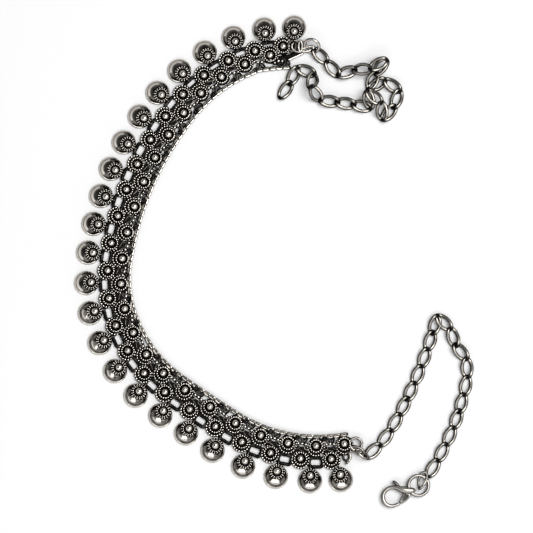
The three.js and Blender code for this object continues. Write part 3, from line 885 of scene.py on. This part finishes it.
# %% The route of each chain
LINK_STEP = 6.3
LOOSE_STEP = 5.7  # to the first link of the next stretch
LOWER = {
    "start": (32.0, -68.3),
    "stretches": [4, 4, 3, 4, 4],
    "route": [  # links, bearing of the first, bearing of the last, climb of each
        (2, 42, 53, 0), (7, 61.2, 74.2, 0), (2, -44, -73, 0), (2, -50, -87, 0), (6, -102, -122, 0),
    ],
}
UPPER = {
    "start": (13.9, 74.0),
    "stretches": [3, 3, 4, 5, 1, 5, 1],
    "route": [
        (2, -44, -50, 0), (1, 18, 18, 1.2), (1, -1, -1, 2.6), (1, 29, 29, 0), (1, -130, -130, -2.6),
        (1, -112, -112, -1.2), (2, 29, -36, 0), (2, -109, -132, 0), (1, 98, 98, 2.7),
        (1, 140, 140, 0), (1, -77, -77, -2.7), (3, 169, 174, 0), (1, 129, 129, 3.4),
        (1, 77, 77, -3.4), (1, 160, 160, 0), (2, -115, -124, 0),
    ],
}


def walk(chain):
    """Every link's middle, bearing and slope. A step goes from joint to joint along the bearing,
    and its rise is the climb. The first link of each later stretch stands a little closer."""
    bearing = np.concatenate([np.linspace(a, b, n) for n, a, b, _ in chain["route"]])
    climb = np.concatenate([np.full(n, c, float) for n, _, _, c in chain["route"]])
    slope = np.arcsin(climb / LINK_STEP)
    turn = np.radians(bearing)
    along = np.stack([np.cos(turn) * np.cos(slope), np.sin(turn) * np.cos(slope), np.sin(slope)], -1)
    pull = np.zeros(len(bearing))
    pull[np.cumsum(chain["stretches"])[:-1]] = LOOSE_STEP - LINK_STEP
    ends = np.cumsum(along * (LINK_STEP + pull)[:, None], 0)
    middles = ends - along * LINK_STEP / 2
    start = np.array([*chain["start"], 1.2])
    start[:2] -= CENTRE
    return middles + start, bearing, np.degrees(slope)


print("links:", len(walk(LOWER)[1]), "in the lower chain and", len(walk(UPPER)[1]), "in the upper")

# %% [markdown]
# The wire of a real link is wound on an oval rod, so its sides are fuller than an ellipse's. A
# rounded rectangle would have straight sides, so the ellipse is filled out by a power of its sine.
# The dark stays where the next link covers it, at both tips. A small upright oval ties each end
# of the lower chain to its ring.

# %% Links, ties and both chains
def curb_link():
    """A twisted oval of wire: the part across it is divided by the sine of t to the power 0.24, which fills
    its sides. Its wear and painted light is squared, which darkens the flanks further as painted shade, and
    halved toward the tips where the links meet."""
    steps = 40
    path = oval_path(3.4, 1.7, steps, 42)
    sine = np.sin(np.arange(steps) * 2 * np.pi / steps)
    path[:, 1:] /= np.maximum(sine**2, 0.01)[:, None] ** 0.12
    link = wire(path, 0.6, 16, flat=0.9)
    # Squaring darkens the flanks as painted shade. The tips stay dark at the joints.
    link.wear_and_painted_light = link.wear_and_painted_light**2 * (1 - 0.5 * ease(abs(link.points[:, 0]), 2.5, 3.3))
    return link


def tie_link(x, y, bearing, half_length, roll, shift):
    """A rolled oval that ties a chain to a ring: upright where it passes through the ring."""
    upright = wire(oval_path(half_length, 1.5, 32, roll, shift), 0.45, 12)
    return in_layout(upright.turned(bearing), x, y, 1.9)


CURB_LINK = curb_link()


def curb_chain(side, chain, ties):
    """One piece for each stretch, lifted where it would dip below the table. ties holds more skins
    by the stretch's number."""
    middles, bearings, slopes = walk(chain)
    first = 0
    for k, count in enumerate(chain["stretches"], 1):
        skins = []
        for i in range(first, first + count):
            link = CURB_LINK.turned(-slopes[i], "y").turned(bearings[i])
            skins.append(link.moved(*middles[i]))
        skins += ties.get(k, [])
        lowest = min(s.points[:, 2].min() for s in skins)
        skins = [s.moved(z=max(0.0, -lowest)) for s in skins]
        make_piece(f"{side}_curb_{k}", skins, f"{side}_chain_{k}", chain_metal)
        first += count
    return middles


ties = {
    1: [tie_link(30.2, -67.3, 152, 2.4, roll=25, shift=70)],
    5: [tie_link(51.2, -76.4, -107, 3.0, roll=35, shift=40)],
}
middles = curb_chain("lower", LOWER, ties)
curb_chain("upper", UPPER, {})
print("lower chain ends at", np.round(middles[-1], 1), "mm")

# %% [markdown]
# ## The clasp's body
#
# A lobster clasp is two castings and a pin. The body is a fat teardrop that thins into a hook.
# Subdivision modelling would suit it, but here it is rows of half width and half height carried
# along a bent line, so that each place on it can be read and changed. Two short round bosses
# thicken it beside the pin.

# %% Rows smoothed and swept
CLASP = {"x": 45.8, "y": -81.4, "turn": 12.0, "height": 1.6}


def in_clasp(skin):
    """From the clasp's own frame, whose X runs to its tail, to the necklace's."""
    return in_layout(skin.turned(CLASP["turn"]), CLASP["x"], CLASP["y"], CLASP["height"])


def smooth_rows(rows, steps):
    """A finer run of rows: each span is the cubic that leaves and meets its ends along the line
    through their neighbours."""
    rows = np.asarray(rows, float)
    padded = np.vstack([2 * rows[0] - rows[1], rows, 2 * rows[-1] - rows[-2]])
    s = np.linspace(0, len(rows) - 1, steps)
    k = np.minimum(s.astype(int), len(rows) - 2)
    t = (s - k)[:, None]
    a, b, c, d = (padded[k + n] for n in range(4))
    return 0.5 * (2 * b + (c - a) * t + (2 * a - 5 * b + 4 * c - d) * t**2 + (3 * b - a - 3 * c + d) * t**3)


def swept_rows(rows, steps, sides):
    """Rows of (x, y, half width, half height) swept as ellipses: a wire of radius 1 whose spokes are
    stretched by the row's two halves, closed by a point at each end."""
    rows = smooth_rows(rows, steps)
    path = np.column_stack([rows[:, 0], rows[:, 1], np.zeros(len(rows))])
    skin = wire(path, 1.0, sides, closed=False)
    centre = np.repeat(path, sides, 0)
    half = np.repeat(rows[:, [2, 2, 3]], sides, 0)
    skin.points[:-2] = centre + (skin.points[:-2] - centre) * half
    return skin


# %% The body and its bosses
PIVOT = (0.1, 0.45)
BODY_ROWS = [  # x, y, half width, half height, from the tail to the hook's tip
    (3.45, 0.98, 0.12, 0.2), (3.2, 1.0, 0.5, 0.75), (2.4, 1.1, 0.92, 1.2), (1.2, 1.35, 1.22, 1.4),
    (0.1, 1.65, 1.35, 1.45), (-0.9, 2.1, 1.28, 1.4), (-1.9, 2.7, 1.05, 1.2), (-3.0, 3.3, 0.8, 0.95),
    (-4.2, 3.6, 0.68, 0.75), (-5.7, 3.5, 0.66, 0.66), (-7.1, 2.75, 0.68, 0.66),
    (-8.0, 1.45, 0.7, 0.66), (-8.2, -0.1, 0.7, 0.66), (-7.65, -1.5, 0.68, 0.66),
    (-6.5, -2.4, 0.62, 0.62), (-5.2, -2.72, 0.56, 0.6), (-3.6, -2.5, 0.52, 0.56),
    (-3.35, -2.42, 0.42, 0.45), (-3.3, -2.4, 0.1, 0.1),
]


def boss(x, y, radius, half):
    """A short round boss: a turned step with its corners cut."""
    rows = [(0, -half, 0.5), (radius, -half, 0.6), (radius, half, 0.7), (0, half, 0.7)]
    return turned_profile(rounded(rows), 24).moved(x, y)


body_skins = [swept_rows(BODY_ROWS, 90, 24), boss(*PIVOT, 0.62, 0.85), boss(-0.2, 1.6, 0.8, 1.2)]
# A power over 1 darkens the flanks of the body and its bosses further: painted shade.
for skin in body_skins:
    skin.wear_and_painted_light **= 1.6
clasp_skins = [in_clasp(s) for s in body_skins]
clasp_hook = make_piece("clasp_hook", clasp_skins, "clasp_body", clasp_metal)
print("the clasp's body has", len(clasp_hook.data.polygons), "faces before its cuts")

# %% [markdown]
# The lever moves in a slot that is sawn through the body, and the tail has a drilled eye for the
# ring. Modelled by hand, the slot's edges would have to follow the curved skin. The Boolean
# modifier finds them, is applied at once, and the cutters are removed.

# %% Saw the slot and drill the eye
SLOT_HALF = 0.55
SLOT = [
    (1.7, -0.9), (-1.6, -0.9), (-1.6, 0.9), (-2.9, 3.5), (-3.1, 5.0), (-0.3, 5.0), (0.8, 0.9),
    (1.7, 0.35),
]
EYE = [(0, -3, 0.2), (0.85, -3, 0.2), (0.85, 3, 0.2), (0, 3, 0.2)]  # radius, height, wear


def prism(outline, half):
    """A block between two copies of an outline, which runs clockwise seen from above. The copies
    are two rings, and the mean of the outline closes each."""
    flat = np.asarray(outline, float)[::-1]
    rings = np.stack([np.column_stack([flat, np.full(len(flat), z)]) for z in (-half, half)])
    return capped(rings, rings.mean(1), 0.1)


def cut_away(piece, skins):
    """Takes each skin out of the piece with an exact Boolean and applies it."""
    for k, skin in enumerate(skins):
        mesh = bpy.data.meshes.new(f"cutter {k}")
        mesh.from_pydata((skin.points * MM).tolist(), [], skin.quads.tolist() + skin.tris.tolist())
        cutter = bpy.data.objects.new(mesh.name, mesh)
        bpy.context.scene.collection.objects.link(cutter)
        cut = piece.modifiers.new("cut", "BOOLEAN")
        cut.operation, cut.solver, cut.use_self, cut.object = "DIFFERENCE", "EXACT", True, cutter
        with bpy.context.temp_override(object=piece, active_object=piece, selected_objects=[piece]):
            bpy.ops.object.modifier_apply(modifier=cut.name)
        bpy.data.objects.remove(cutter)
        bpy.data.meshes.remove(mesh)
    piece.data.set_sharp_from_angle(angle=math.radians(42))


eye = turned_profile(EYE, 24).turned(90, "x").turned(17).moved(1.45, 1.3)
cut_away(clasp_hook, [in_clasp(prism(SLOT, SLOT_HALF)), in_clasp(eye)])
print(clasp_hook.name, "has", len(clasp_hook.data.polygons), "faces after its cuts")

# %% [markdown]
# ## The lever
#
# The lever turns on the pin: a flat wedge closes the hook, and a thumb tab stands out on the other
# side. The tab is swept like the body. The wedge is a plate with a shallow hollow in its face, and a
# swept section can't give its pointed outline, so the outline itself is drawn in toward a point,
# level by level.

# %% The wedge of the gate
GATE = [
    (1.5, -0.3), (1.2, 0.5), (0.3, 1.0), (-0.7, 1.2), (-1.15, 0.5), (-2.1, -0.65), (-2.95, -1.75),
    (-3.15, -2.1), (-2.85, -2.65), (-1.9, -2.5), (-0.85, -2.15), (0.6, -1.35), (1.25, -0.85),
]
GATE_LEVELS = [  # x, y, scale, height, wear
    (-0.9, -1.0, 0.85, -0.5, 0.2), (-0.9, -1.0, 0.97, -0.45, 0.3), (-0.9, -1.0, 1.0, 0.0, 0.4),
    (-0.9, -1.0, 0.97, 0.38, 0.5), (-0.9, -1.0, 0.9, 0.5, 0.6), (-0.9, -0.7, 0.66, 0.49, 0.5),
    (-0.9, -0.6, 0.55, 0.42, 0.3), (-0.9, -0.5, 0.3, 0.4, 0.3),
]


def wedge(outline, levels):
    """A plate whose outline is drawn in toward a point, level by level.

    The outline's corners are cut twice. On each level it is the point plus the scale times the
    outline's distance from it. The first and the last level close on their own point."""
    outline = np.asarray(outline, float)
    for _ in range(2):
        ahead = np.roll(outline, -1, 0)
        cut = np.stack([outline * 0.75 + ahead * 0.25, outline * 0.25 + ahead * 0.75], 1)
        outline = cut.reshape(-1, 2)
    if np.sum(np.cross(outline, np.roll(outline, -1, 0))) < 0:
        outline = outline[::-1]
    levels = np.asarray(levels, float)
    point, scale, height, tone = levels[:, None, :2], levels[:, None, 2:3], levels[:, 3], levels[:, 4]
    flat = point + (outline[None] - point) * scale
    rings = np.concatenate([flat, np.broadcast_to(height[:, None, None], (*flat.shape[:2], 1))], -1)
    tips = levels[[0, -1]][:, [0, 1, 3]]
    return capped(rings, tips, np.append(np.repeat(tone, len(outline)), [0, tone[-1]]))


print("the gate has", len(wedge(GATE, GATE_LEVELS).points), "points")

# %% The tab and the whole lever
TAB_ROWS = [  # x, y, half width, half height
    (0.1, 0.45, 0.35, 0.25), (-1.1, 2.3, 0.35, 0.25), (-1.95, 3.5, 0.35, 0.3),
    (-2.3, 4.05, 0.55, 0.5), (-2.75, 4.65, 0.56, 0.55), (-3.2, 5.25, 0.5, 0.5),
    (-3.5, 5.6, 0.36, 0.4), (-3.6, 5.75, 0.1, 0.12),
]
thumb = swept_rows(TAB_ROWS, 30, 14)
thumb.wear_and_painted_light *= 0.4
lever_skins = [in_clasp(s) for s in (thumb, wedge(GATE, GATE_LEVELS), boss(*PIVOT, 0.6, 0.25))]
lever = make_piece(
    "thumb_lever", lever_skins, "clasp_lever", clasp_metal, body="lever"
)
print("the lever has", len(lever.data.polygons), "faces")

# %% [markdown]
# The ring at the clasp's tail is bent from wire and closed with a butt joint. A torus would be
# quicker, but it has no joint, so the ring is a wire whose path stops a hair short of a full turn.

# %% The ring with its cut
t = np.radians(np.linspace(207, 207 + 354, 72))
ring_path = np.stack([3.45 * np.cos(t), 3.45 * np.sin(t), np.zeros(len(t))], -1)
ring = wire(ring_path, 0.56, 16, closed=False).moved(4.75, 2.35)
# Squared, so the ring's flanks are darker: painted shade.
ring.wear_and_painted_light **= 2
make_piece("tail_ring", [in_clasp(ring)], "clasp_ring", clasp_metal)
print("the ring's cut is", round(float(np.linalg.norm(ring_path[0] - ring_path[-1])), 2), "mm wide")

# %% [markdown]
# ## Table, light and camera
#
# Polished metal shows its surroundings more than itself. A pale matt card lights it from below. A
# shadow catcher would leave the metal nothing to mirror, so the card is a real plane, and its grey is
# set so that the lamps just bring it to white.

# %% The table
table_mesh = bpy.data.meshes.new("table")
half = 1.5
corners = [(-half, -half, 0), (half, -half, 0), (half, half, 0), (-half, half, 0)]
table_mesh.from_pydata(corners, [], [(0, 1, 2, 3)])
table = bpy.data.objects.new("table", table_mesh)
bpy.context.scene.collection.objects.link(table)
card = bpy.data.materials.new("white card")
card.use_nodes = True
matt = {"Base Color": (0.54, 0.54, 0.54, 1), "Roughness": 0.9, "Specular IOR Level": 0.1}
feed(card.node_tree, card.node_tree.nodes["Principled BSDF"], matt)
table_mesh.materials.append(card)
print("table is", 2 * half, "m wide")

# %% [markdown]
# Two oblong lamps do the rest. The first stands high and to one side and gives the soft shadow.
# The second faces the necklace from the near side, halfway up, and is what the near drops show as a
# white patch. Spots would light as well, but a mirror shows them as dots.

# %% Lamps
def soft_lamp(name, place, aim, width, height, watts):
    """An upright oblong lamp at a place in metres that faces an aim.

    It is tilted by the angle whose tangent is the level distance to the aim over the drop to it,
    and then turned toward the aim."""
    lamp = bpy.data.lights.new(name, "AREA")
    lamp.shape, lamp.size, lamp.size_y, lamp.energy = "RECTANGLE", width, height, watts
    holder = bpy.data.objects.new(name, lamp)
    bpy.context.scene.collection.objects.link(holder)
    holder.location = place
    way = np.array(aim, float) - np.array(place, float)
    level = math.hypot(way[0], way[1])
    holder.rotation_euler = (math.atan2(level, -way[2]), 0, math.atan2(-way[0], way[1]))
    print(name, "lamp stands", round(float(np.linalg.norm(way)), 2), "m away")


soft_lamp("overhead", (0.5, 0.15, 1.2), (0, 0, 0), 0.95, 0.95, 27.5)
soft_lamp("near side", (-0.05, -0.9, 0.9), (0, 0, 0), 1.8, 0.65, 9.0)

# %% [markdown]
# The room is a band of light a little above the horizon, under a dark ceiling, and it is brighter
# toward the near side. So the flanks of a dome catch light while its crown stays dark, as in a tent
# of white cloth with an open top. A picture of a room would also do, but a ramp has no seams.

# %% The room
world = bpy.data.worlds.new("room")
bpy.context.scene.world = world
world.use_nodes = True
tree = world.node_tree
split = added(tree, "ShaderNodeSeparateXYZ", {0: added(tree, "ShaderNodeTexCoord")["Generated"]})
sky = tree.nodes.new("ShaderNodeValToRGB")
greys = [(0.0, 0.3), (0.05, 0.6), (0.36, 0.6), (0.5, 0.16), (1.0, 0.12)]  # height, grey
for height, _ in greys[1:-1]:
    sky.color_ramp.elements.new(height)
for stop, (height, grey) in zip(sky.color_ramp.elements, greys):
    stop.position, stop.color = height, (grey, grey, grey, 1)
feed(tree, sky, {0: split["Z"]})
toward = {"Value": split["Y"], "From Min": 0.6, "From Max": -0.6, "To Min": 1.2, "To Max": 2.0}
strength = added(tree, "ShaderNodeMapRange", toward)["Result"]
feed(tree, tree.nodes["Background"], {"Color": sky.outputs[0], "Strength": strength})
print("the room goes from grey", greys[0][1], "at the horizon to", greys[-1][1], "overhead")

# %% [markdown]
# The camera looks down from almost straight above, as one looks at a necklace on a table. It stands
# well back with a long lens, so that the drops at the edges are seen from the same side as those in
# the middle. An orthographic camera would do that fully, but it flattens the balls a little.

# %% Camera
VIEW_WIDTH = 0.185484  # of the table, in metres
distance, tilt = 0.9, math.radians(4)
target = np.array([-0.00249, -0.00232, 0.001])
camera = bpy.data.cameras.new("camera")
camera.sensor_width = 36.0
camera.lens = camera.sensor_width * distance / VIEW_WIDTH
holder = bpy.data.objects.new("camera", camera)
bpy.context.scene.collection.objects.link(holder)
holder.location = target + distance * np.array([0, -math.sin(tilt), math.cos(tilt)])
holder.rotation_euler = (tilt, 0, 0)
bpy.context.scene.camera = holder
bpy.context.scene.view_settings.view_transform = "Standard"
print("lens", round(camera.lens, 1), "mm")
